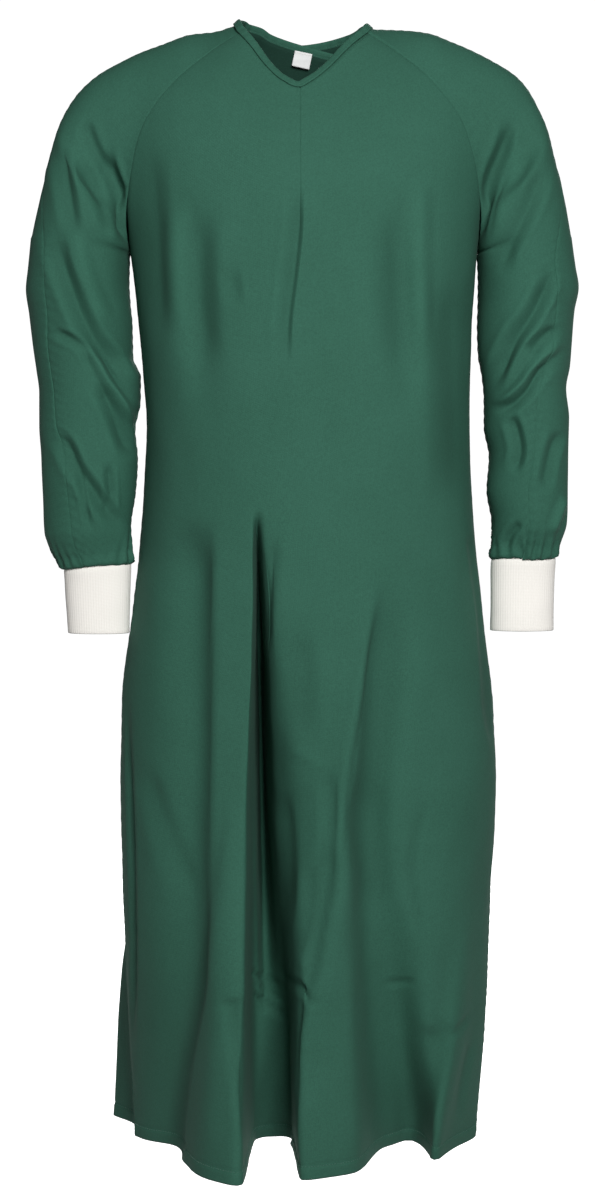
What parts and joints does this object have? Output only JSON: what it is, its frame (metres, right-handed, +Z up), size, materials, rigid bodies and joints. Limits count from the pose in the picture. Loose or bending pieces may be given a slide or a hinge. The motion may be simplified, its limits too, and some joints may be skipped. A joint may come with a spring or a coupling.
{
  "type": "surgical gown",
  "caption": "Long reusable surgical gown with raglan sleeves, knit cuffs and a bound V neck, filled out and hollow, with an overlapping back.",
  "frame": {"origin": "between the wearer's shoulders at the base of the neck, where the shoulders hold the gown up", "axes": "+Z up the wearer's spine; the front faces -Y; +X is the viewer's right, looking at the front"},
  "size_m": [0.6097, 0.3258, 1.255],
  "materials": {
    "gown_cloth": "matt, closely woven green cotton blend",
    "cuff_knit": "white ribbed knit",
    "label_weave": "white woven label, left bare"
  },
  "bodies": {
    "root": {"front_panel": "gown_cloth", "back_left": "gown_cloth", "back_right": "gown_cloth", "sleeve_front_left": "gown_cloth", "sleeve_back_left": "gown_cloth", "sleeve_front_right": "gown_cloth", "sleeve_back_right": "gown_cloth", "neck_binding": "gown_cloth", "cuff_left": "cuff_knit", "cuff_right": "cuff_knit", "size_label": "label_weave"}
  },
  "joints": []
}
